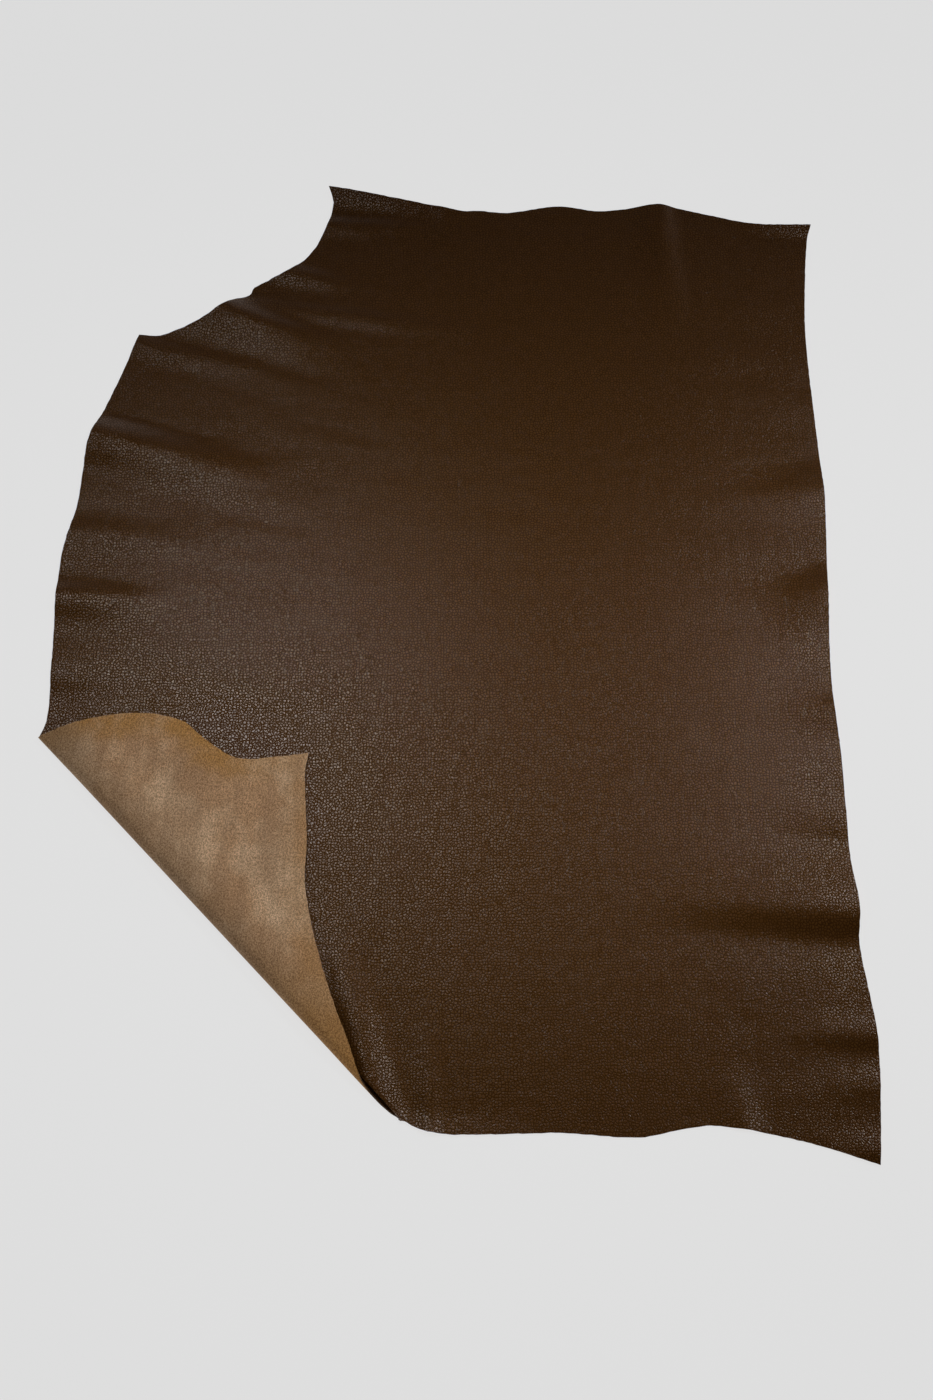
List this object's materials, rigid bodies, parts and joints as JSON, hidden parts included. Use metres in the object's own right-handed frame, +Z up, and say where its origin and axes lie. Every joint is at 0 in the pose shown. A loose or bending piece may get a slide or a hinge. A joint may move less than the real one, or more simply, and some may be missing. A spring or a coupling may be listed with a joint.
{
  "type": "leather hide",
  "caption": "Side of thick pebble-grained leather cut to a natural outline, lying grain side up with one corner turned over to show its flesh side.",
  "frame": {"origin": "middle of the laid hide's box, on the surface that it lies on", "axes": "+X from the belly cut to the straight spine cut, +Y from the rump cut to the crop cut, +Z up out of the grain side"},
  "size_m": [1.1656, 1.5464, 0.0239],
  "materials": {
    "leather": "dark brown pebbled grain with a soft sheen; the flesh side is tan and suede-like"
  },
  "bodies": {
    "root": {"hide": "leather"}
  },
  "joints": []
}
